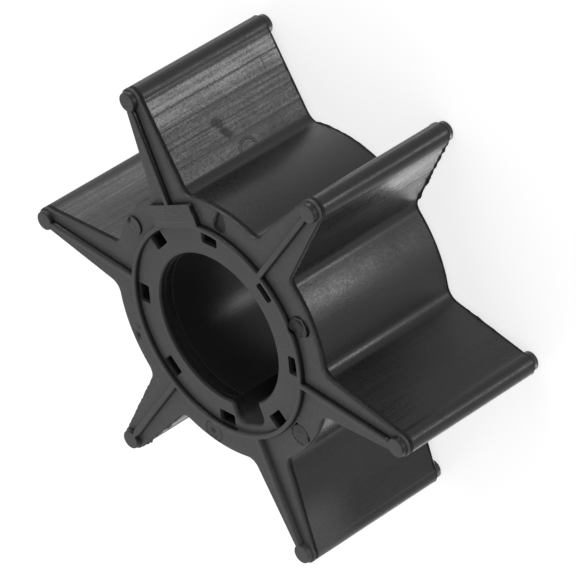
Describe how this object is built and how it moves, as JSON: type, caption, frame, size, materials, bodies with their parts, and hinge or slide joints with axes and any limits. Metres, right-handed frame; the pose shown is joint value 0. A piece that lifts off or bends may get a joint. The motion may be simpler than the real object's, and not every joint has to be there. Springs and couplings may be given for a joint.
{
  "type": "rubber pump impeller",
  "caption": "Flexible rubber water pump impeller with straight round-tipped vanes, ribbed end faces and a keyed insert in the hub.",
  "frame": {"origin": "on the shaft axis at the rear face's lands", "axes": "+Z along the shaft axis towards the face with the windows, +Y towards the vane with the pad at its root"},
  "size_m": [0.0582, 0.0666, 0.0246],
  "materials": {
    "rubber": "matt moulded rubber, satin on the vane flanks",
    "insert": "smooth moulded plastic"
  },
  "bodies": {
    "root": {"rubber_body": "rubber", "hub_insert": "insert"}
  },
  "joints": []
}
